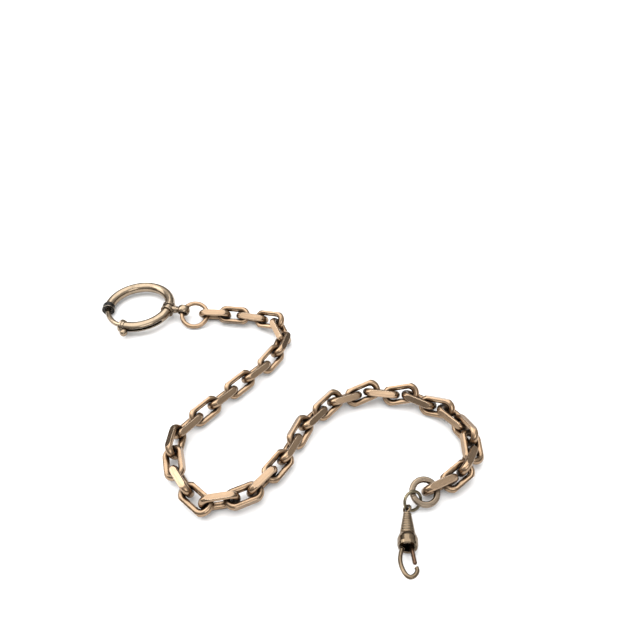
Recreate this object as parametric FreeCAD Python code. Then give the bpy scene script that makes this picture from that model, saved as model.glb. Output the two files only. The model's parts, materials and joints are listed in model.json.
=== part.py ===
import FreeCAD, Part
import math
import os
from FreeCAD import Matrix, Placement, Vector

# Pocket watch chain lying on a table, in millimetres, +Z up.
# A spring ring, a jump ring, 36 filed oval links, a flat ring, a small ring and a swivel clip.

# --- Chain links -----------------------------------------------------------
WIRE_WIDTH = 2.0          # link wire, across the link's plane
WIRE_DEPTH = 1.8          # link wire, in the link's plane, at the end bars
LEG_DEPTH = 1.45          # the same along the legs, after filing flat
LINK_CLEARANCE = 0.15     # between a wire and the slot that it runs in
LINK_STRAIGHT = 4.2       # length of the straight legs
TWIST_LIMIT = 10.0        # degrees that one link may twist on the next

# --- Chain route: heading of each link on the table, degrees, from the ring's end ---
HEADINGS = [-3, -8, -11, -24, -66, -104, -122, -133, -131, -131, -130, -130,
            -94, -76, -57, -41, 12, 26, 50, 57, 65, 65, 51, 46,
            22, 20, -5, 0, -27, -26, -46, -67, -90, -116, -140, -154]
LEANS = {1: 60, 3: 45, 13: 70, 17: 85, 19: 60, 21: 45, 29: 32, 31: 25, 33: 20}  # odd links, from flat
SLACKS = {2: 0.5, 6: 0.0, 18: 0.5, 25: 1.1}  # play left in the chain, mm, from each link on

# --- Spring ring -----------------------------------------------------------
RING_RADIUS = 9.5         # centre of the tube
TUBE_RADIUS = 1.55
TUBE_BORE = 0.82
BOLT_RADIUS = 0.75
SOCKET_ANGLE = 188.0      # free edge of the socket, degrees round the ring
MOUTH_ANGLE = 247.0       # free edge of the ferrule
FERRULE_LENGTH = 1.3
FERRULE_RADIUS = 2.0
SOCKET_LENGTH = 2.2
SOCKET_RADIUS = 1.95
BOLT_ENGAGEMENT = 1.0     # how far the bolt's tip enters the socket
BOLT_TRAVEL = 58.0        # degrees that the bolt draws back
KNOB_ANGLE = 258.5        # thumb knob with the bolt home
KNOB_RADIUS = 1.15
POST_RADIUS = 0.36
SLOT_CLEARANCE = 0.07     # each side of the knob's post
BOLT_TAIL = 1.1           # bolt beyond the post
STOP_ANGLE = 340.0
STOP_LENGTH = 0.6
SPRING_WIRE = 0.24
SPRING_TURNS = 11
SWIVEL_ANGLE = 350.0
COLLAR_RADIUS = 2.05
COLLAR_GROOVE = 1.75
COLLAR_LENGTH = 2.6
BAND_LENGTH = 0.75
BOSS_RADIUS = 1.1
BOSS_LENGTH = 1.3         # beyond the tube
SHANK_RADIUS = 0.5
SHANK_CLEARANCE = 0.06
EYE_BALL = 1.95           # ball head of the swivel eye
EYE_REACH = 5.0           # from tube centre to eye centre
EYE_WAIST = 1.0           # narrowest radius of the eye's hole
EYE_FLARE = 1.5           # radius of the hole's rounded mouths

# --- Rings -----------------------------------------------------------------
JUMP_RADIUS = 3.85        # jump ring, centre of its wire
JUMP_WIRE = 0.7           # wire radius
FLAT_OUTER = 3.8
FLAT_INNER = 2.3
FLAT_THICK = 1.2
FLAT_SEAM = 0.12          # open seam in the flat ring
SMALL_RADIUS = 2.3        # small ring, centre of its wire
SMALL_WIRE = 0.375
RING_CLEARANCE = 0.1

# --- Swivel clip, stations along its axis from the centre of its eye ------------
CLIP_EYE_RADIUS = 0.85    # eye, centre of its wire
CLIP_EYE_WIRE = 0.35
CLIP_STEM = 0.4
CLIP_CLEARANCE = 0.06
CONE_START = 1.3
CONE_END = 7.6
CONE_TOP_RADIUS = 0.85
CONE_END_RADIUS = 1.75
RIB_COUNT = 8
RIB_DEPTH = 0.22
SKIRT_RADIUS = 2.4
SKIRT_START = 8.6
SKIRT_END = 10.9
SKIRT_MOUTH_RADIUS = 2.15
HOLLOW_RADIUS = 1.55      # bore of the skirt
HOLLOW_START = 7.2
CHAMBER_RADIUS = 0.7      # bore that holds the rivet head
CHAMBER_START = 2.6
CHAMBER_END = 5.4
WASHER_THICK = 0.25
RIVET_RADIUS = 0.62
RIVET_LENGTH = 0.5
HOOK_WIRE = 0.52
HOOK_ROOT = -1.0          # offset of the hook's root from the axis
HOOK_BOTTOM = 19.0
HOOK_TIP = 16.0
HOOK_TIP_OFFSET = 1.8
GATE_RADIUS = 0.5
GATE_OFFSET = 0.62        # gate pivot, from the axis
GATE_PIVOT = 9.6
GATE_LEAN = 9.5           # degrees, towards the hook's tip
GATE_LENGTH = 5.2         # to the centre of its round tip
GATE_HUB_LIP = 0.04
GATE_TRAVEL = 20.0        # degrees that the gate is pressed in
GATE_PIN = 0.22
GATE_SPRING_WIRE = 0.14
GATE_SPRING_TURNS = 3

# --- Where the rings and the clip lie ----------------------------------------
EYE_POINT = Vector(-42.0, 1.15, 3.0)     # centre of the swivel eye
SWIVEL_PITCH = 2.5        # the ring rises towards its swivel
SWIVEL_HEADING = -10.0
JUMP_TILT = 25.0          # jump ring, from flat
JUMP_EYE_ANGLE = 156.0    # where it passes through the swivel eye
JUMP_LINK_ANGLE = 3.0     # where it carries link 1
FLAT_PLAY = 1.1           # flat ring pushed back along the last link
FLAT_HEADING = -130.0     # from the last link's bar to the flat ring's centre
SMALL_HEADING = -142.0    # from the flat ring's centre to the small ring
SMALL_LEAN = 52.0
CLIP_HEADING = -95.0
CLIP_PITCH = 7.0

# --- Worked out --------------------------------------------------------------
SLOT_HALF = WIRE_WIDTH / 2 + LINK_CLEARANCE
LINK_WIDTH = 2 * (SLOT_HALF + LEG_DEPTH)
BEND = LINK_STRAIGHT / 2                       # link centre to the centre of a bend
HUG = SLOT_HALF + WIRE_WIDTH / 2               # bend centre to the centre of a bar
LINK_COUNT = len(HEADINGS)
UP = Vector(0, 0, 1)
ORIGIN = Vector(0, 0, 0)


def unit(v):
    return v / v.Length


def spin(v, axis, degrees):
    """v turned about an axis through the origin."""
    return FreeCAD.Rotation(axis, degrees).multVec(v)


def heading(degrees, pitch=0.0):
    a, p = math.radians(degrees), math.radians(pitch)
    return Vector(math.cos(a) * math.cos(p), math.sin(a) * math.cos(p), math.sin(p))


class Frame:
    """A place for a piece: a point, its x axis and its z axis."""

    def __init__(self, point, x, z):
        self.point = point
        self.x = unit(x)
        self.y = unit(z.cross(x))
        self.z = unit(self.x.cross(self.y))

    def at(self, x=0.0, y=0.0, z=0.0):
        return self.point + self.x * x + self.y * y + self.z * z

    def along(self, x=0.0, y=0.0, z=0.0):
        return self.x * x + self.y * y + self.z * z

    def put(self, shape):
        x, y, z, p = self.x, self.y, self.z, self.point
        matrix = Matrix(x.x, y.x, z.x, p.x, x.y, y.y, z.y, p.y, x.z, y.z, z.z, p.z, 0, 0, 0, 1)
        moved = shape.copy()
        moved.Placement = Placement(matrix).multiply(moved.Placement)
        return moved


# --- Layout ------------------------------------------------------------------
def from_table(table, number):
    """Value that a table gives from a link's number on."""
    return table[max(first for first in table if first <= number)]


def lean_of(number):
    """Angle of a link's plane from flat: odd links follow LEANS, even links lie square to them."""
    odd = number if number % 2 else number - 1
    lean = from_table(LEANS, odd)
    return lean if number % 2 else lean - 90


def link_axes(direction, near_normal, number):
    """Normal of a link that runs along direction, square to the wire it hangs on, within the twist limit."""
    natural = unit(direction.cross(near_normal))
    side = unit(UP.cross(direction))
    lean = math.radians(lean_of(number))
    wanted = side * math.sin(lean) + unit(direction.cross(side)) * math.cos(lean)
    if natural.dot(wanted) < 0:
        natural = natural * -1
    turn = math.degrees(math.atan2(natural.cross(wanted).dot(direction), natural.dot(wanted)))
    return spin(natural, direction, max(-TWIST_LIMIT, min(TWIST_LIMIT, turn)))


def hang(frame, direction, backed, number):
    """Frame of a link hung on the link before it, whose near bar lies backed off from its tight place."""
    in_plane = Vector(direction.dot(frame.x), direction.dot(frame.y), 0)
    bend = math.atan2(in_plane.y, in_plane.x)
    reach = backed * math.cos(bend) + math.sqrt(HUG ** 2 - (backed * math.sin(bend)) ** 2)
    bar = frame.at(x=BEND - backed + reach * math.cos(bend), y=reach * math.sin(bend))
    normal = link_axes(direction, frame.z, number)
    return Frame(bar + direction * (BEND + HUG - reach), direction, normal), bar


def layout():
    """Frames of all the pieces, and the joints as (name, parent, child, point, axis)."""
    frames, joints = {}, []

    post = heading(SWIVEL_HEADING, SWIVEL_PITCH)
    centre = EYE_POINT - post * (RING_RADIUS + EYE_REACH)
    swivel_up = unit(post.cross(UP.cross(post)))
    radial = spin(post, swivel_up, -SWIVEL_ANGLE)
    frames["ring"] = Frame(centre, radial, swivel_up)
    frames["swivel"] = Frame(EYE_POINT, post, swivel_up)
    joints.append(("bolt_draw", "spring_ring", "bolt", centre, swivel_up))
    joints.append(("swivel_turn", "spring_ring", "swivel", EYE_POINT, post))

    tilt = math.radians(JUMP_TILT)
    jump_x = Vector(1, 0, 0)
    jump_y = Vector(0, math.cos(tilt), math.sin(tilt))
    to_eye = jump_x * math.cos(math.radians(JUMP_EYE_ANGLE)) + jump_y * math.sin(math.radians(JUMP_EYE_ANGLE))
    jump_normal = jump_x.cross(jump_y)
    jump_centre = EYE_POINT - to_eye * JUMP_RADIUS
    frames["jump"] = Frame(jump_centre, jump_x, jump_normal)
    eye_tangent = jump_normal.cross(to_eye)
    eye_side = unit(eye_tangent - post * eye_tangent.dot(post))
    frames["swivel"] = Frame(EYE_POINT, post, eye_side)
    joints.append(("jump_ring_swing", "swivel", "jump_ring", EYE_POINT, eye_tangent))

    to_link = jump_x * math.cos(math.radians(JUMP_LINK_ANGLE)) + jump_y * math.sin(math.radians(JUMP_LINK_ANGLE))
    hold = jump_centre + to_link * JUMP_RADIUS
    reach = BEND + SLOT_HALF - JUMP_WIRE - RING_CLEARANCE
    direction = heading(HEADINGS[0])
    normal = link_axes(direction, jump_normal, 1)
    frame = Frame(hold + direction * reach, direction, normal)
    frames["link_01"] = frame
    joints.append(("link_01_swing", "jump_ring", "link_01", hold, normal))

    for number in range(2, LINK_COUNT + 1):
        backed = from_table(SLACKS, number)
        pitch = 0.0
        for _ in range(4):
            trial, bar = hang(frame, heading(HEADINGS[number - 1], pitch), backed, number)
            onward = heading(HEADINGS[number]) if number < LINK_COUNT else trial.x
            end = hang(trial, onward, backed, number + 1)[1]
            sideways = abs((end - trial.point).dot(trial.y) * trial.y.z)
            miss = LINK_WIDTH / 2 + sideways / 2 - end.z
            pitch += math.degrees(math.atan2(miss, 2 * BEND + HUG))
        frame, bar = hang(frame, heading(HEADINGS[number - 1], pitch), backed, number)
        name = "link_%02d" % number
        joints.append((name + "_swing", "link_%02d" % (number - 1), name, bar, frame.z))
        frames[name] = frame

    bar = frame.at(x=BEND + HUG)
    normal = frame.y if frame.y.z > 0 else frame.y * -1
    outward = heading(FLAT_HEADING)
    outward = unit(outward - normal * outward.dot(normal))
    flat_centre = bar + outward * (FLAT_INNER - WIRE_WIDTH / 2 - RING_CLEARANCE - FLAT_PLAY)
    frames["flat"] = Frame(flat_centre, outward, normal)
    joints.append(("flat_ring_swing", "link_%02d" % LINK_COUNT, "flat_ring", bar, normal))

    outward = heading(SMALL_HEADING)
    outward = unit(outward - normal * outward.dot(normal))
    hold = flat_centre + outward * (FLAT_OUTER + FLAT_INNER) / 2
    tangent = unit(outward.cross(normal))
    if tangent.y > 0:
        tangent = tangent * -1
    small_normal = spin(tangent, outward, SMALL_LEAN)
    if small_normal.z < 0:
        small_normal = spin(tangent, outward, -SMALL_LEAN)
    half_section = math.hypot(FLAT_OUTER - FLAT_INNER, FLAT_THICK) / 2
    off = SMALL_RADIUS - SMALL_WIRE - half_section - 2 * RING_CLEARANCE
    small_centre = hold + outward * off
    frames["small"] = Frame(small_centre, outward, small_normal)
    joints.append(("small_ring_swing", "flat_ring", "small_ring", hold, tangent))

    clip_axis = heading(CLIP_HEADING, CLIP_PITCH)
    outward = unit(clip_axis - small_normal * clip_axis.dot(small_normal))
    eye = small_centre + outward * SMALL_RADIUS
    tangent = unit(small_normal.cross(outward))
    frames["clip_eye"] = Frame(eye, clip_axis, tangent)
    frames["clip"] = Frame(eye, clip_axis, UP)
    joints.append(("clip_eye_swing", "small_ring", "clip_eye", eye, tangent))
    joints.append(("clip_turn", "clip_eye", "clip", eye, clip_axis))
    clip = frames["clip"]
    joints.append(("gate_press", "clip", "gate", clip.at(x=GATE_PIVOT, y=GATE_OFFSET), clip.z))
    return frames, joints


# --- Small solids ------------------------------------------------------------
def rod(radius, start, end):
    """Cylinder along x, from start to end."""
    return Part.makeCylinder(radius, end - start, Vector(start, 0, 0), Vector(1, 0, 0))


def turned(points):
    """Solid of revolution about x from (station, radius) points; the outline closes on the axis."""
    outline = [Vector(x, r, 0) for x, r in points]
    outline = [Vector(points[0][0], 0, 0)] + outline + [Vector(points[-1][0], 0, 0)]
    kept = [outline[0]]
    for point in outline[1:]:
        if (point - kept[-1]).Length > 1e-6:
            kept.append(point)
    face = Part.Face(Part.makePolygon(kept + [kept[0]]))
    return face.revolve(ORIGIN, Vector(1, 0, 0), 360)


def torus_part(ring_radius, radius, start, end):
    """Bent round bar: a torus about z between two angles."""
    circle = Part.Circle(Vector(ring_radius, 0, 0), Vector(0, -1, 0), radius)
    face = Part.Face(Part.Wire(circle.toShape()))
    bar = face.revolve(ORIGIN, UP, end - start)
    bar.rotate(ORIGIN, UP, start)
    return bar


def band(ring_radius, half_width_in, half_width_out, half_height, start, end):
    """Rectangular section swept about z between two angles."""
    low, high = ring_radius - half_width_in, ring_radius + half_width_out
    corners = [Vector(low, 0, -half_height), Vector(high, 0, -half_height),
               Vector(high, 0, half_height), Vector(low, 0, half_height)]
    face = Part.Face(Part.makePolygon(corners + [corners[0]]))
    swept = face.revolve(ORIGIN, UP, end - start)
    swept.rotate(ORIGIN, UP, start)
    return swept


def degrees_of(length):
    """Angle of an arc of this length along the ring's tube."""
    return math.degrees(length / RING_RADIUS)


def tube_place(angle):
    """Placement on the ring's centre line: x outward, y along the tube, z up."""
    a = math.radians(angle)
    out = Vector(math.cos(a), math.sin(a), 0)
    return Frame(out * RING_RADIUS, out, UP)


# --- Chain link --------------------------------------------------------------
def link_solid():
    middle = SLOT_HALF + WIRE_WIDTH / 2
    half = WIRE_WIDTH / 2
    low, high = Vector(0, middle, -half), Vector(0, middle, half)
    inner = Part.Arc(low, Vector(0, SLOT_HALF, 0), high).toShape()
    outer = Part.Arc(high, Vector(0, SLOT_HALF + WIRE_DEPTH, 0), low).toShape()
    section = Part.Face(Part.Wire([inner, outer]))

    leg = section.copy()
    leg.translate(Vector(-BEND, 0, 0))
    leg = leg.extrude(Vector(LINK_STRAIGHT, 0, 0))
    end = section.copy()
    end.translate(Vector(BEND, 0, 0))
    end = end.revolve(Vector(BEND, 0, 0), UP, -180)
    half_link = leg.fuse(end)
    other = half_link.copy()
    other.rotate(ORIGIN, UP, 180)
    solid = half_link.fuse(other).removeSplitter()

    reach = BEND + SLOT_HALF + WIRE_DEPTH + 1
    filed = Part.makeBox(2 * reach, LINK_WIDTH, 2 * WIRE_WIDTH,
                         Vector(-reach, -LINK_WIDTH / 2, -WIRE_WIDTH))
    return solid.common(filed).Solids[0]


# --- Spring ring -------------------------------------------------------------
def tube_start():
    return MOUTH_ANGLE + degrees_of(FERRULE_LENGTH * 0.3)


def tube_end():
    return 360 + SOCKET_ANGLE - degrees_of(SOCKET_LENGTH * 0.6)


def slot_half_angle():
    return degrees_of(POST_RADIUS + SLOT_CLEARANCE)


def ring_tube():
    tube = torus_part(RING_RADIUS, TUBE_RADIUS, tube_start(), tube_end())
    tube = tube.cut(torus_part(RING_RADIUS, TUBE_BORE, tube_start() - 5, tube_end() + 5))
    half = slot_half_angle()
    slot = band(RING_RADIUS, 0, TUBE_RADIUS * 2, POST_RADIUS + SLOT_CLEARANCE,
                KNOB_ANGLE - half, KNOB_ANGLE + BOLT_TRAVEL + half)
    shank = tube_place(SWIVEL_ANGLE).put(rod(SHANK_RADIUS + SHANK_CLEARANCE, 0, TUBE_RADIUS * 2))
    return tube.cut(slot).cut(shank)


def sleeve(steps, bore, start):
    """Turned collar on the bent tube: (length, radius) steps from an angle on, bored through."""
    solid, angle = None, start
    for length, radius in steps:
        step = torus_part(RING_RADIUS, radius, angle, angle + degrees_of(length))
        solid = step if solid is None else solid.fuse(step)
        angle += degrees_of(length)
    return solid.cut(torus_part(RING_RADIUS, bore, start - 5, angle + 5))


def mouth_ferrule():
    lip = FERRULE_LENGTH * 0.3
    flange = torus_part(RING_RADIUS, FERRULE_RADIUS, MOUTH_ANGLE, MOUTH_ANGLE + degrees_of(lip * 1.5))
    neck = torus_part(RING_RADIUS, (FERRULE_RADIUS + TUBE_RADIUS) / 2, MOUTH_ANGLE,
                      MOUTH_ANGLE + degrees_of(FERRULE_LENGTH))
    solid = flange.fuse(neck)
    seat = torus_part(RING_RADIUS, TUBE_RADIUS, tube_start(), MOUTH_ANGLE + 20)
    bore = torus_part(RING_RADIUS, TUBE_BORE, MOUTH_ANGLE - 5, MOUTH_ANGLE + 20)
    return solid.cut(seat).cut(bore)


def socket_collar():
    start = 360 + SOCKET_ANGLE - degrees_of(SOCKET_LENGTH)
    rim = degrees_of(SOCKET_LENGTH * 0.25)
    face = 360 + SOCKET_ANGLE
    solid = torus_part(RING_RADIUS, SOCKET_RADIUS, start + rim, face)
    solid = solid.fuse(torus_part(RING_RADIUS, (SOCKET_RADIUS + TUBE_RADIUS) / 2, start, face))
    seat = torus_part(RING_RADIUS, TUBE_RADIUS, start - 5, tube_end())
    bore = torus_part(RING_RADIUS, TUBE_BORE + 0.15, start - 5, face + 5)
    return solid.cut(seat).cut(bore)


def bolt_tip():
    return SOCKET_ANGLE - degrees_of(BOLT_ENGAGEMENT)


def bolt_tail():
    return KNOB_ANGLE + degrees_of(BOLT_TAIL)


def ring_bolt():
    bolt = torus_part(RING_RADIUS, BOLT_RADIUS, bolt_tip(), bolt_tail())
    post_hole = tube_place(KNOB_ANGLE).put(rod(POST_RADIUS, -BOLT_RADIUS * 0.4, 2 * TUBE_RADIUS))
    return bolt.cut(post_hole)


def thumb_knob():
    place = tube_place(KNOB_ANGLE)
    gap = 0.12
    centre = TUBE_RADIUS + gap + KNOB_RADIUS * 0.9
    ball = Part.makeSphere(KNOB_RADIUS, Vector(centre, 0, 0))
    foot = TUBE_RADIUS + gap
    ball = ball.common(Part.makeBox(4 * KNOB_RADIUS, 4 * KNOB_RADIUS, 4 * KNOB_RADIUS,
                                    Vector(foot, -2 * KNOB_RADIUS, -2 * KNOB_RADIUS)))
    post = rod(POST_RADIUS, -BOLT_RADIUS * 0.4, centre)
    return place.put(ball.fuse(post))


def coil(radius, wire, turns, length):
    """Open coil spring along z, its helix starting on the x axis."""
    path = Part.makeHelix(length / turns, length, radius)
    circle = Part.Wire(Part.Circle(Vector(radius, 0, 0), Vector(0, 1, 0), wire).toShape())
    return Part.Wire(path.Edges).makePipeShell([circle], True, True)


def bolt_spring():
    """Coil bent round the ring: rings joined in a row would not be a spring, so its path is a true coil."""
    start, end = bolt_tail() + 0.3, STOP_ANGLE - 0.3
    radius = TUBE_BORE - SPRING_WIRE / 2 - 0.06
    steps = SPRING_TURNS * 12
    points = []
    for i in range(steps + 1):
        along = math.radians(start + degrees_of(SPRING_WIRE) +
                             (end - start - 2 * degrees_of(SPRING_WIRE)) * i / steps)
        turn = 2 * math.pi * SPRING_TURNS * i / steps
        out = RING_RADIUS + radius * math.cos(turn)
        points.append(Vector(out * math.cos(along), out * math.sin(along), radius * math.sin(turn)))
    curve = Part.BSplineCurve()
    curve.interpolate(points)
    tangent = curve.tangent(curve.FirstParameter)[0]
    circle = Part.Wire(Part.Circle(points[0], tangent, SPRING_WIRE / 2).toShape())
    return Part.Wire(curve.toShape()).makePipeShell([circle], True, True)


def spring_stop():
    return torus_part(RING_RADIUS, TUBE_BORE, STOP_ANGLE, STOP_ANGLE + degrees_of(STOP_LENGTH))


def swivel_collar():
    groove = COLLAR_LENGTH - 2 * BAND_LENGTH
    start = SWIVEL_ANGLE - degrees_of(COLLAR_LENGTH / 2)
    solid = sleeve([(BAND_LENGTH, COLLAR_RADIUS), (groove, COLLAR_GROOVE), (BAND_LENGTH, COLLAR_RADIUS)],
                   TUBE_RADIUS, start)
    place = tube_place(SWIVEL_ANGLE)
    boss = place.put(rod(BOSS_RADIUS, TUBE_RADIUS * 0.5, TUBE_RADIUS + BOSS_LENGTH))
    boss = boss.cut(torus_part(RING_RADIUS, TUBE_RADIUS, start - 5, start + 30))
    hole = place.put(rod(SHANK_RADIUS + SHANK_CLEARANCE, 0, 3 * TUBE_RADIUS))
    return solid.fuse(boss).cut(hole).removeSplitter()


def swivel_eye():
    """Ball head with a flared cross hole, its shank running back through the boss to a rivet head."""
    ball = Part.makeSphere(EYE_BALL)
    boss_end = TUBE_RADIUS + BOSS_LENGTH - EYE_REACH
    neck = turned([(boss_end + RING_CLEARANCE, BOSS_RADIUS * 0.9), (-EYE_BALL * 0.5, BOSS_RADIUS * 1.1)])
    shank = rod(SHANK_RADIUS, -EYE_REACH, -EYE_BALL * 0.5)
    head = rod(SHANK_RADIUS + 0.2, -EYE_REACH - 0.25, -EYE_REACH + 0.25)
    solid = ball.fuse(neck).fuse(shank).fuse(head)
    hole = hourglass(EYE_WAIST, EYE_FLARE)
    return solid.cut(hole).removeSplitter()


def hourglass(waist, flare):
    """Hole along z with rounded mouths, wide enough for a curved wire."""
    half = flare * 0.98
    rim = waist + flare - math.sqrt(flare ** 2 - half ** 2)
    top, bottom = Vector(rim, 0, half), Vector(rim, 0, -half)
    over = Vector(rim, 0, 2 * flare)
    under = Vector(rim, 0, -2 * flare)
    edges = [Part.makeLine(Vector(0, 0, -2 * flare), under), Part.makeLine(under, bottom),
             Part.Arc(bottom, Vector(waist, 0, 0), top).toShape(), Part.makeLine(top, over),
             Part.makeLine(over, Vector(0, 0, 2 * flare)),
             Part.makeLine(Vector(0, 0, 2 * flare), Vector(0, 0, -2 * flare))]
    return Part.Face(Part.Wire(edges)).revolve(ORIGIN, UP, 360)


# --- Rings between the chain and the clip ----------------------------------------
def jump_ring():
    return Part.makeTorus(JUMP_RADIUS, JUMP_WIRE)


def flat_ring():
    disc = Part.makeCylinder(FLAT_OUTER, FLAT_THICK, Vector(0, 0, -FLAT_THICK / 2))
    disc = disc.cut(Part.makeCylinder(FLAT_INNER, 2 * FLAT_THICK, Vector(0, 0, -FLAT_THICK)))
    rims = [edge for edge in disc.Edges if edge.Curve.TypeId == "Part::GeomCircle"]
    disc = disc.makeFillet(FLAT_THICK * 0.42, rims)
    seam = Part.makeBox(2 * FLAT_OUTER, FLAT_SEAM, 2 * FLAT_THICK,
                        Vector(0, -FLAT_SEAM / 2, -FLAT_THICK))
    seam.rotate(ORIGIN, UP, -25)
    return disc.cut(seam)


def small_ring():
    return Part.makeTorus(SMALL_RADIUS, SMALL_WIRE)


# --- Swivel clip ---------------------------------------------------------------
def clip_eye():
    eye = Part.makeTorus(CLIP_EYE_RADIUS, CLIP_EYE_WIRE)
    stem_end = CHAMBER_START + WASHER_THICK + CLIP_CLEARANCE + RIVET_LENGTH
    stem = rod(CLIP_STEM, CLIP_EYE_RADIUS, stem_end)
    head = rod(RIVET_RADIUS, stem_end - RIVET_LENGTH, stem_end)
    return eye.fuse(stem).fuse(head).removeSplitter()


def clip_washer():
    start = CHAMBER_START + CLIP_CLEARANCE / 2
    ring = rod(CHAMBER_RADIUS - CLIP_CLEARANCE, start, start + WASHER_THICK)
    return ring.cut(rod(CLIP_STEM + CLIP_CLEARANCE, start - 1, start + 1))


def cone_outline():
    """Ribbed cone and bell skirt: (station, radius) points."""
    step = (CONE_END - CONE_START) / RIB_COUNT
    points = []
    for rib in range(RIB_COUNT):
        low = CONE_START + rib * step
        for share, rise in ((0.0, -1.0), (0.25, 0.3), (0.5, 1.0), (0.75, 0.3)):
            x = low + share * step
            cone = CONE_TOP_RADIUS + (CONE_END_RADIUS - CONE_TOP_RADIUS) * (x - CONE_START) / (CONE_END - CONE_START)
            points.append((x, cone + RIB_DEPTH / 2 * rise))
    points.append((CONE_END, CONE_END_RADIUS - RIB_DEPTH / 2))
    points.append((CONE_END + 0.15, CONE_END_RADIUS + 0.1))
    middle = (SKIRT_START + CONE_END) / 2
    points.append((middle, (SKIRT_RADIUS + CONE_END_RADIUS) / 2 + 0.1))
    points.append((SKIRT_START, SKIRT_RADIUS * 0.97))
    points.append((SKIRT_START + 0.4, SKIRT_RADIUS))
    points.append((SKIRT_END - 0.6, SKIRT_RADIUS * 0.98))
    points.append((SKIRT_END, SKIRT_MOUTH_RADIUS))
    return points


def hook_path():
    """Wire path of the hook in its own plane: down from the root, round the bottom and up to the tip."""
    points = [(CHAMBER_END + 1.2, HOOK_ROOT), (SKIRT_END, HOOK_ROOT - 0.15), (13.4, HOOK_ROOT - 0.7),
              (16.4, HOOK_ROOT - 0.3), (HOOK_BOTTOM - HOOK_WIRE, 0.45), (HOOK_TIP + 1.3, 1.8),
              (HOOK_TIP, HOOK_TIP_OFFSET)]
    curve = Part.BSplineCurve()
    curve.interpolate([Vector(x, y, 0) for x, y in points])
    return curve


def clip_hook():
    curve = hook_path()
    start = curve.value(curve.FirstParameter)
    tangent = curve.tangent(curve.FirstParameter)[0]
    circle = Part.Wire(Part.Circle(start, tangent, HOOK_WIRE).toShape())
    return Part.Wire(curve.toShape()).makePipeShell([circle], True, True)


def clip_housing():
    solid = turned(cone_outline())
    solid = solid.cut(rod(CLIP_STEM + CLIP_CLEARANCE, 0, CHAMBER_START + 0.1))
    solid = solid.cut(rod(CHAMBER_RADIUS, CHAMBER_START, CHAMBER_END))
    solid = solid.cut(rod(HOLLOW_RADIUS, HOLLOW_START, SKIRT_END + 1))
    solid = solid.cut(clip_hook())
    pin = gate_pin_solid(0.0)
    return solid.cut(pin)


def gate_frame():
    a = math.radians(GATE_LEAN)
    return Frame(Vector(GATE_PIVOT, GATE_OFFSET, 0), Vector(math.cos(a), math.sin(a), 0), UP)


def gate_pin_solid(clearance):
    length = 2 * SKIRT_RADIUS * 0.86
    return Part.makeCylinder(GATE_PIN + clearance, length,
                             Vector(GATE_PIVOT, GATE_OFFSET, -length / 2))


def clip_gate():
    body = rod(GATE_RADIUS, 0, GATE_LENGTH)
    half = GATE_RADIUS + GATE_HUB_LIP
    hub = Part.makeCylinder(GATE_RADIUS + GATE_HUB_LIP, 2 * half, Vector(0, 0, -half))
    tip = Part.makeSphere(GATE_RADIUS, Vector(GATE_LENGTH, 0, 0))
    solid = gate_frame().put(body.fuse(hub).fuse(tip)).removeSplitter()
    return solid.cut(gate_pin_solid(0.04))


def gate_spring():
    """Torsion coil on the gate's pin, beside the gate."""
    width = (GATE_SPRING_TURNS + 0.5) * GATE_SPRING_WIRE
    spring = coil(GATE_PIN + GATE_SPRING_WIRE, GATE_SPRING_WIRE / 2 * 0.9, GATE_SPRING_TURNS, width)
    spring.translate(Vector(GATE_PIVOT, GATE_OFFSET, GATE_RADIUS + GATE_HUB_LIP + 0.04))
    return spring


# --- Assembly ------------------------------------------------------------------
def pieces(frames):
    """Every node's solid in place, before the whole is set on its origin."""
    ring, swivel, clip = frames["ring"], frames["swivel"], frames["clip"]
    placed = {
        "ring_tube": ring.put(ring_tube()),
        "mouth_ferrule": ring.put(mouth_ferrule()),
        "socket_collar": ring.put(socket_collar()),
        "ring_bolt": ring.put(ring_bolt()),
        "thumb_knob": ring.put(thumb_knob()),
        "bolt_spring": ring.put(bolt_spring()),
        "spring_stop": ring.put(spring_stop()),
        "swivel_collar": ring.put(swivel_collar()),
        "swivel_eye": swivel.put(swivel_eye()),
        "jump_ring": frames["jump"].put(jump_ring()),
        "flat_ring": frames["flat"].put(flat_ring()),
        "small_ring": frames["small"].put(small_ring()),
        "clip_eye": frames["clip_eye"].put(clip_eye()),
        "clip_washer": clip.put(clip_washer()),
        "clip_housing": clip.put(clip_housing()),
        "clip_hook": clip.put(clip_hook()),
        "clip_gate": clip.put(clip_gate()),
        "gate_pin": clip.put(gate_pin_solid(0.0)),
        "gate_spring": clip.put(gate_spring()),
    }
    link = link_solid()
    for number in range(1, LINK_COUNT + 1):
        name = "link_%02d" % number
        placed[name] = frames[name].put(link)
    return placed


def base_point(placed):
    """Middle of the bounding box's bottom face."""
    box = Part.makeCompound(list(placed.values())).optimalBoundingBox(True, False)
    return Vector((box.XMin + box.XMax) / 2, (box.YMin + box.YMax) / 2, box.ZMin)


def main():
    os.makedirs("parts", exist_ok=True)
    frames, _ = layout()
    placed = pieces(frames)
    base = base_point(placed)
    for name, shape in placed.items():
        shape.translate(base * -1)
        solids = shape.Solids
        if len(solids) != 1 or not shape.isValid() or shape.Volume <= 0:
            print("CHECK", name, "solids", len(solids), "valid", shape.isValid(), "volume", shape.Volume)
        solids[0].exportStep("parts/%s.step" % name)
    print("origin", base, "pieces", len(placed))


if __name__ == "__main__":
    main()
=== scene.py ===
import json
import math

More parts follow.
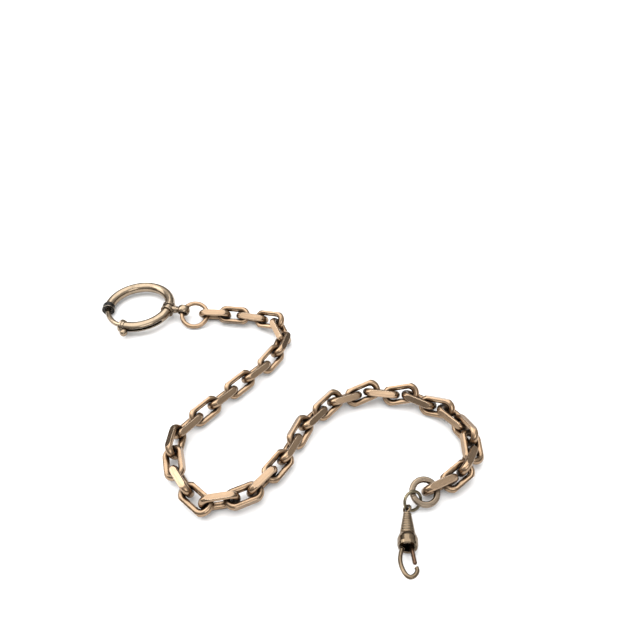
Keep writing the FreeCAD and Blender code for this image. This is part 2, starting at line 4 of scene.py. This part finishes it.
import bpy
import numpy as np
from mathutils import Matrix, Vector


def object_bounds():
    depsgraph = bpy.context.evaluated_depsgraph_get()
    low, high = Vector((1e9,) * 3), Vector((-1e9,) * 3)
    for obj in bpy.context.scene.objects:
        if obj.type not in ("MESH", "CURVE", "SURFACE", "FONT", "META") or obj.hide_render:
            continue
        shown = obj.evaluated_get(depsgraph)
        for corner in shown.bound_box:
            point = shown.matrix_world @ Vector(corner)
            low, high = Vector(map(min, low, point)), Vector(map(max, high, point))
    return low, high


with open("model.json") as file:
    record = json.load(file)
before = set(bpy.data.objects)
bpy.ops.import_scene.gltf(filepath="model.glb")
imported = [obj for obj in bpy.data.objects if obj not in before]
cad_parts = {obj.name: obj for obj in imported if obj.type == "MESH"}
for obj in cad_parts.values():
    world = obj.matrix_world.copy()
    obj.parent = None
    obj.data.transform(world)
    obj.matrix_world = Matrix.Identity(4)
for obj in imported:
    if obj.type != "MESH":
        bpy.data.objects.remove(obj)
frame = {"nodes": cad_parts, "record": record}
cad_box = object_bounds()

# Pocket watch chain: worn gold-filled brass on a pale table, in metres.

MM = 0.001

# --- Camera ------------------------------------------------------------------
# Point in the picture's middle, from the middle of the box's base.
AIM_FROM_MIDDLE = Vector((13.3, 36.15, 0.2)) * MM
CAMERA_DOWN = math.radians(42)       # how steeply the camera looks down
CAMERA_DISTANCE = 217 * MM
CAMERA_FIELD = math.radians(49.1)
CAMERA_NEAREST = 10 * MM

# --- Colours, linear -----------------------------------------------------------
LINK_GOLD = (0.310, 0.212, 0.134)
LINK_FACET = (0.285, 0.198, 0.128)
RING_GOLD = (0.300, 0.232, 0.162)
FLAT_GOLD = (0.230, 0.178, 0.128)
FITTING_GOLD = (0.270, 0.205, 0.140)
SMALL_BRONZE = (0.190, 0.160, 0.105)
CLIP_BRONZE = (0.165, 0.122, 0.080)
RED_BRONZE = (0.110, 0.064, 0.040)
BLACKENED = (0.030, 0.028, 0.026)
# bright cream rim colour: rubbed wear, and also a painted highlight along the rims
RIM_WEAR_AND_HIGHLIGHT = (0.80, 0.68, 0.54)
# dark recess colour: patina, and also painted shade laid by an ambient-occlusion mask
PATINA_AND_SHADE = (0.028, 0.018, 0.013)
STEEL = (0.30, 0.30, 0.31)
TABLE_WHITE = (0.88, 0.88, 0.88)
SKY_DARK = (0.035, 0.028, 0.024)
SKY_LIGHT = (1.0, 1.0, 1.0)

# --- Worn metal ------------------------------------------------------------------
SCRATCH_STRETCH = (0.045, 1.0, 1.0)  # scratches run along the piece
SCRATCH_SCALE = 5200.0               # noise scales, per metre
FINE_SCALE = 3400.0
BLOTCH_SCALE = 330.0
HANDLING_SCALE = 900.0
RIM_RANGE = (1.015, 0.93)            # how far the rounded normal turns at a rim that is painted lighter, for wear and as a painted highlight
RIM_UNEVEN = 0.05
SOOT_AND_SHADE_REACH = 1.5 * MM                # how near another surface has to be for a recess to be darkened, as soot and as painted shade
SOOT_AND_SHADE_RANGE = (0.14, 0.66)
SOOT_AND_SHADE_UNEVEN = 0.6
FACET_RANGE = (0.93, 0.985)
BLOTCH_RANGE = (0.52, 0.80)
HANDLING_RANGE = (0.52, 0.75)
HANDLING_SHARE = 0.5
STREAK_RANGE = (0.50, 0.72)
STREAK_SHARE = 0.32
LIGHTER = 1.22
DARKER = 0.62
SCRATCH_MIDDLE = 0.45
SCRATCH_ROUGHNESS = 0.30
SOOT_AND_SHADE_ROUGHNESS = 0.35
RIM_POLISH = 0.06
ROUGHNESS_LIMITS = (0.12, 0.85)
SCRATCH_HEIGHT = 0.7
FINE_HEIGHT = 0.3
BUMP_STRENGTH = 0.16
BUMP_DEPTH = 0.03 * MM

# --- Table and light ---------------------------------------------------------------
TABLE_SIZE = 3.0
TABLE_BEHIND = 0.4
TABLE_ROUGHNESS = 0.7
TABLE_SPECULAR = 0.2
SKY_LIGHT_FROM = 0.70                # height of the sky's full brightness
SKY_STRENGTH = 1.05
SOFTBOXES = (                        # name, offset from the chain's middle, size, watts
    ("top_light", (-0.12, 0.12, 0.55), (0.90, 0.80), 5.2),
    ("left_light", (-0.60, 0.10, 0.35), (0.40, 0.50), 1.6),
    ("front_light", (0.25, -0.60, 0.45), (0.50, 0.35), 1.3),
)

nodes = frame["nodes"]


# --- Node helpers ----------------------------------------------------------------
class Graph:
    """Short calls for building one material's nodes."""

    def __init__(self, name):
        self.material = bpy.data.materials.new(name)
        self.material.use_nodes = True
        self.tree = self.material.node_tree
        self.shader = self.tree.nodes["Principled BSDF"]

    def add(self, kind, **values):
        node = self.tree.nodes.new(kind)
        for key, value in values.items():
            setattr(node, key, value)
        return node

    def link(self, source, target):
        self.tree.links.new(source, target)

    def put(self, socket, value):
        """Sets a socket to a number, a vector or another node's output."""
        if isinstance(value, bpy.types.NodeSocket):
            self.link(value, socket)
        else:
            socket.default_value = value

    def math(self, operation, a, b):
        node = self.add("ShaderNodeMath", operation=operation)
        self.put(node.inputs[0], a)
        self.put(node.inputs[1], b)
        return node.outputs[0]

    def dot(self, vector, direction):
        node = self.add("ShaderNodeVectorMath", operation="DOT_PRODUCT")
        self.link(vector, node.inputs[0])
        self.put(node.inputs[1], direction)
        return node.outputs["Value"]

    def join(self, values):
        """A vector from three numbers or outputs."""
        node = self.add("ShaderNodeCombineXYZ")
        for socket, value in zip(node.inputs, values):
            self.put(socket, value)
        return node.outputs[0]

    def ramp(self, value, low, high):
        """0 at low, 1 at high, smooth between; low may be above high."""
        node = self.add("ShaderNodeMapRange", interpolation_type="SMOOTHSTEP", clamp=True)
        self.put(node.inputs["Value"], value)
        node.inputs["From Min"].default_value = low
        node.inputs["From Max"].default_value = high
        return node.outputs["Result"]

    def mix(self, factor, a, b):
        node = self.add("ShaderNodeMix", data_type="RGBA", clamp_factor=True)
        self.put(node.inputs["Factor"], factor)
        for socket, value in ((node.inputs[6], a), (node.inputs[7], b)):
            self.put(socket, (*value, 1.0) if isinstance(value, tuple) else value)
        return node.outputs[2]

    def noise(self, vector, scale, detail, roughness):
        node = self.add("ShaderNodeTexNoise")
        self.link(vector, node.inputs["Vector"])
        node.inputs["Scale"].default_value = scale
        node.inputs["Detail"].default_value = detail
        node.inputs["Roughness"].default_value = roughness
        return node.outputs["Fac"]


def piece_axes(obj):
    """A piece's own long, middle and short directions, and its centre, read from its mesh."""
    points = np.array([vertex.co for vertex in obj.data.vertices], float)
    centre = points.mean(0)
    spread, directions = np.linalg.eigh(np.cov((points - centre).T))
    order = np.argsort(spread)[::-1]
    return [Vector(directions[:, i]) for i in order], Vector(centre)


def worn_metal(name, colour, axes, centre, facet=None, shine=0.26, patina_and_shade=0.75, wear_and_highlight=0.8,
               brushed=1.0, edge=0.12):
    """Old gold-filled metal: scratched along the piece, darkened in its recesses by patina
    and painted shade, and lightened at its rims by wear and a painted highlight. edge is the
    radius in mm of the rim that is lightened."""
    g = Graph(name)
    place = g.add("ShaderNodeTexCoord")
    shifted = g.add("ShaderNodeVectorMath", operation="SUBTRACT")
    g.link(place.outputs["Object"], shifted.inputs[0])
    shifted.inputs[1].default_value = centre
    along_axes = [g.dot(shifted.outputs[0], axis) for axis in axes]
    own = g.join(along_axes)
    stretched = g.join([g.math("MULTIPLY", value, squeeze)
                        for value, squeeze in zip(along_axes, SCRATCH_STRETCH)])

    scratches = g.noise(stretched, SCRATCH_SCALE, 2.0, 0.6)
    fine = g.noise(own, FINE_SCALE, 3.0, 0.65)
    blotches = g.noise(own, BLOTCH_SCALE, 4.0, 0.6)
    handling = g.noise(own, HANDLING_SCALE, 4.0, 0.7)

    # rim mask from the rounded normal: rims are painted lighter, for wear and as a painted
    # highlight
    rounded = g.add("ShaderNodeBevel", samples=6)
    rounded.inputs["Radius"].default_value = edge * MM
    plain = g.add("ShaderNodeNewGeometry")
    turn = g.dot(rounded.outputs["Normal"], plain.outputs["Normal"])
    rim = g.ramp(g.math("ADD", turn, g.math("MULTIPLY", handling, RIM_UNEVEN)), *RIM_RANGE)

    # ambient-occlusion mask: recesses near other surfaces are darkened below, as patina and
    # as painted shade
    shade = g.add("ShaderNodeAmbientOcclusion", samples=8)
    shade.inputs["Distance"].default_value = SOOT_AND_SHADE_REACH
    hidden = g.math("SUBTRACT", 1.0, shade.outputs["AO"])
    uneven = g.math("MULTIPLY", g.math("SUBTRACT", blotches, 0.5), SOOT_AND_SHADE_UNEVEN)
    soot_and_shade = g.ramp(g.math("ADD", hidden, uneven), *SOOT_AND_SHADE_RANGE)

    base = colour
    if facet:
        across = g.math("ABSOLUTE", g.dot(place.outputs["Normal"], axes[1]), 0.0)
        base = g.mix(g.ramp(across, *FACET_RANGE), colour, facet)
    lighter = tuple(min(1.0, c * LIGHTER) for c in colour)
    darker = tuple(c * DARKER for c in colour)
    toned = g.mix(g.ramp(blotches, *BLOTCH_RANGE), base, darker)
    rubbed = g.math("MULTIPLY", g.ramp(handling, *HANDLING_RANGE), HANDLING_SHARE)
    toned = g.mix(rubbed, toned, lighter)
    streaks = g.math("MULTIPLY", g.ramp(scratches, *STREAK_RANGE), STREAK_SHARE * brushed)
    toned = g.mix(streaks, toned, darker)
    # rims lightened towards cream: wear and a painted highlight
    toned = g.mix(g.math("MULTIPLY", rim, wear_and_highlight), toned, RIM_WEAR_AND_HIGHLIGHT)
    # recesses darkened: patina and painted shade
    toned = g.mix(g.math("MULTIPLY", soot_and_shade, patina_and_shade), toned, PATINA_AND_SHADE)
    g.link(toned, g.shader.inputs["Base Color"])

    scratched = g.math("SUBTRACT", scratches, SCRATCH_MIDDLE)
    rough = g.math("ADD", shine, g.math("MULTIPLY", scratched, SCRATCH_ROUGHNESS))
    rough = g.math("ADD", rough, g.math("MULTIPLY", soot_and_shade, SOOT_AND_SHADE_ROUGHNESS))
    rough = g.math("SUBTRACT", rough, g.math("MULTIPLY", rim, RIM_POLISH))
    smoothest, roughest = ROUGHNESS_LIMITS
    rough = g.math("MAXIMUM", g.math("MINIMUM", rough, roughest), smoothest)
    g.link(rough, g.shader.inputs["Roughness"])
    g.shader.inputs["Metallic"].default_value = 1.0

    height = g.math("ADD", g.math("MULTIPLY", scratches, SCRATCH_HEIGHT * brushed),
                    g.math("MULTIPLY", fine, FINE_HEIGHT))
    bump = g.add("ShaderNodeBump")
    bump.inputs["Strength"].default_value = BUMP_STRENGTH
    bump.inputs["Distance"].default_value = BUMP_DEPTH
    g.link(height, bump.inputs["Height"])
    g.link(rounded.outputs["Normal"], bump.inputs["Normal"])
    g.link(bump.outputs["Normal"], g.shader.inputs["Normal"])
    return g.material


# One look per material slot in the record.
# The rim setting in each look sets how strongly rims are painted light, for wear and as a
# painted highlight.
LOOKS = {
    # The recess setting in each look sets how strongly recesses are darkened, for patina and
    # as painted shade.
    "link_metal": dict(colour=LINK_GOLD, facet=LINK_FACET, shine=0.17, patina_and_shade=0.95, wear_and_highlight=0.95,
                       edge=0.08),
    "ring_metal": dict(colour=RING_GOLD, shine=0.14, patina_and_shade=0.9),
    "socket_metal": dict(colour=BLACKENED, shine=0.36, wear_and_highlight=0.85, patina_and_shade=0.9, edge=0.18),
    "swivel_metal": dict(colour=FITTING_GOLD, shine=0.15, patina_and_shade=1.0, wear_and_highlight=0.95, edge=0.08),
    "jump_metal": dict(colour=LINK_GOLD, shine=0.14),
    "flat_metal": dict(colour=FLAT_GOLD, shine=0.20, patina_and_shade=0.95, edge=0.05),
    "small_metal": dict(colour=SMALL_BRONZE, shine=0.18, patina_and_shade=0.8, edge=0.05),
    "clip_metal": dict(colour=CLIP_BRONZE, shine=0.13, patina_and_shade=1.0, wear_and_highlight=0.6, edge=0.03),
    "gate_metal": dict(colour=RED_BRONZE, shine=0.18, wear_and_highlight=0.4),
    "spring_steel": dict(colour=STEEL, shine=0.3, brushed=0.4),
}

slot_of = {entry["node"]: entry["material_slot"] for entry in frame["record"]["subparts"]}
for name, obj in nodes.items():
    axes, centre = piece_axes(obj)
    slot = slot_of[name]
    metal = worn_metal("%s_%s" % (slot, name), axes=axes, centre=centre, **LOOKS[slot])
    obj.data.materials.clear()
    obj.data.materials.append(metal)


# --- Table, light and camera -------------------------------------------------------
low, high = Vector(cad_box[0]), Vector(cad_box[1])
middle = (low + high) / 2
middle.z = low.z

bpy.ops.mesh.primitive_plane_add(size=TABLE_SIZE,
                                 location=(middle.x, middle.y + TABLE_BEHIND, low.z))
table = bpy.context.object
table.name = "table"
paper = Graph("table_white")
paper.shader.inputs["Base Color"].default_value = (*TABLE_WHITE, 1.0)
paper.shader.inputs["Roughness"].default_value = TABLE_ROUGHNESS
paper.shader.inputs["Specular IOR Level"].default_value = TABLE_SPECULAR
table.data.materials.append(paper.material)

for name, offset, size, power in SOFTBOXES:
    data = bpy.data.lights.new(name, "AREA")
    data.shape = "RECTANGLE"
    data.size, data.size_y = size
    data.energy = power
    lamp = bpy.data.objects.new(name, data)
    lamp.location = middle + Vector(offset)
    lamp.rotation_euler = (-Vector(offset)).to_track_quat("-Z", "Y").to_euler()
    bpy.context.scene.collection.objects.link(lamp)

world = bpy.data.worlds.new("studio")
bpy.context.scene.world = world
world.use_nodes = True
sky = world.node_tree
background = sky.nodes["Background"]
direction = sky.nodes.new("ShaderNodeTexCoord")
split = sky.nodes.new("ShaderNodeSeparateXYZ")
fade = sky.nodes.new("ShaderNodeValToRGB")
horizon, overhead = fade.color_ramp.elements
horizon.position = 0.0
horizon.color = (*SKY_DARK, 1.0)
overhead.position = SKY_LIGHT_FROM
overhead.color = (*SKY_LIGHT, 1.0)
sky.links.new(direction.outputs["Generated"], split.inputs[0])
sky.links.new(split.outputs["Z"], fade.inputs["Fac"])
sky.links.new(fade.outputs["Color"], background.inputs["Color"])
background.inputs["Strength"].default_value = SKY_STRENGTH

aim = middle + AIM_FROM_MIDDLE
back = Vector((0.0, -math.cos(CAMERA_DOWN), math.sin(CAMERA_DOWN)))
camera_data = bpy.data.cameras.new("camera")
camera_data.angle = CAMERA_FIELD
camera_data.clip_start = CAMERA_NEAREST
camera = bpy.data.objects.new("camera", camera_data)
camera.location = aim + back * CAMERA_DISTANCE
camera.rotation_euler = (math.pi / 2 - CAMERA_DOWN, 0.0, 0.0)
bpy.context.scene.collection.objects.link(camera)
bpy.context.scene.camera = camera
bpy.context.scene.view_settings.view_transform = "Standard"
